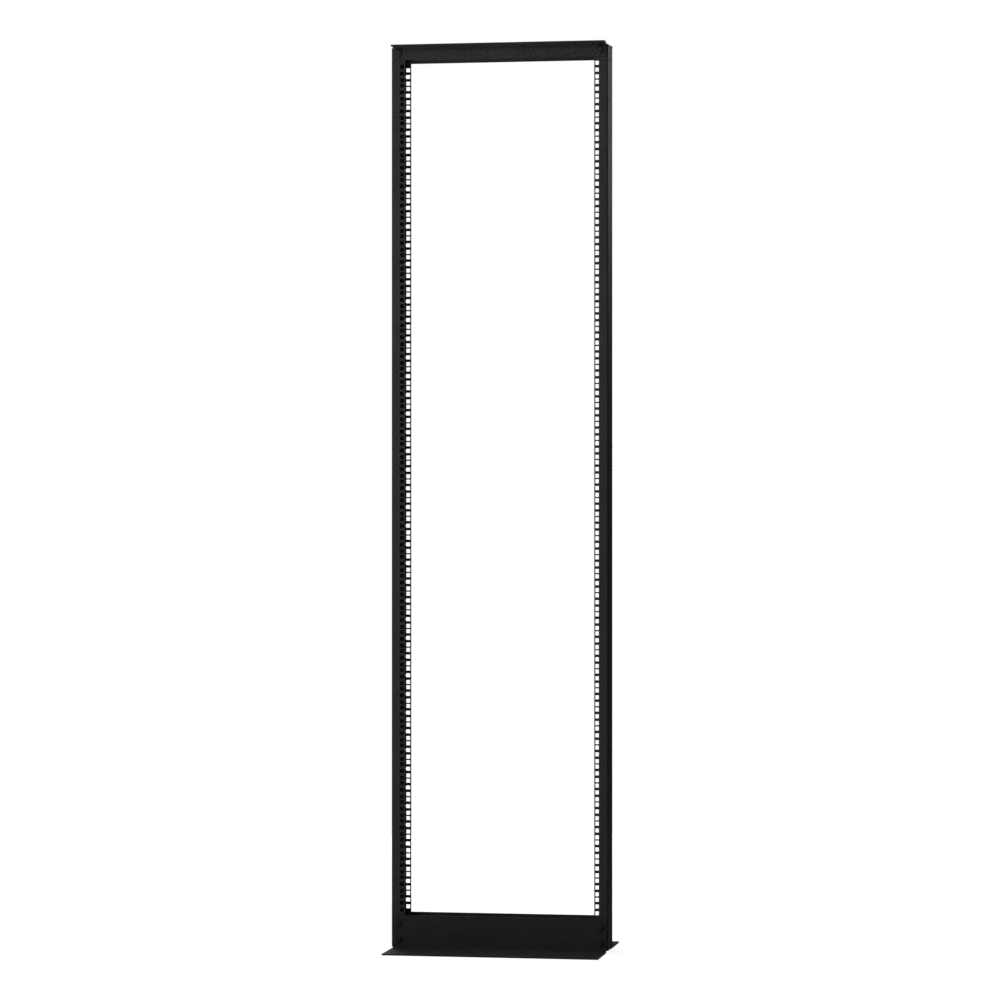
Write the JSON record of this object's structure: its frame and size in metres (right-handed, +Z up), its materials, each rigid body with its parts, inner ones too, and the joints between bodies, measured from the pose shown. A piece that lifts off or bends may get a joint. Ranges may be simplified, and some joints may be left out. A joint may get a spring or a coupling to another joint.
{
  "type": "two post open frame rack",
  "caption": "Open relay rack: two upright steel channels with square-hole flanges, bolted between angles that form a floor base and a top cross member.",
  "frame": {"origin": "on the floor, midway between the posts and midway between their front and rear flanges", "axes": "+X across the rack to the right as seen from the front, +Y to the back, +Z up"},
  "size_m": [0.5154, 0.343, 2.129],
  "materials": {
    "black_powder_coat": "fine-textured matt black powder coat"
  },
  "bodies": {
    "root": {"left_post": "black_powder_coat", "right_post": "black_powder_coat", "base_angle_front": "black_powder_coat", "base_angle_rear": "black_powder_coat", "top_angle_front": "black_powder_coat", "top_angle_rear": "black_powder_coat"}
  },
  "joints": []
}
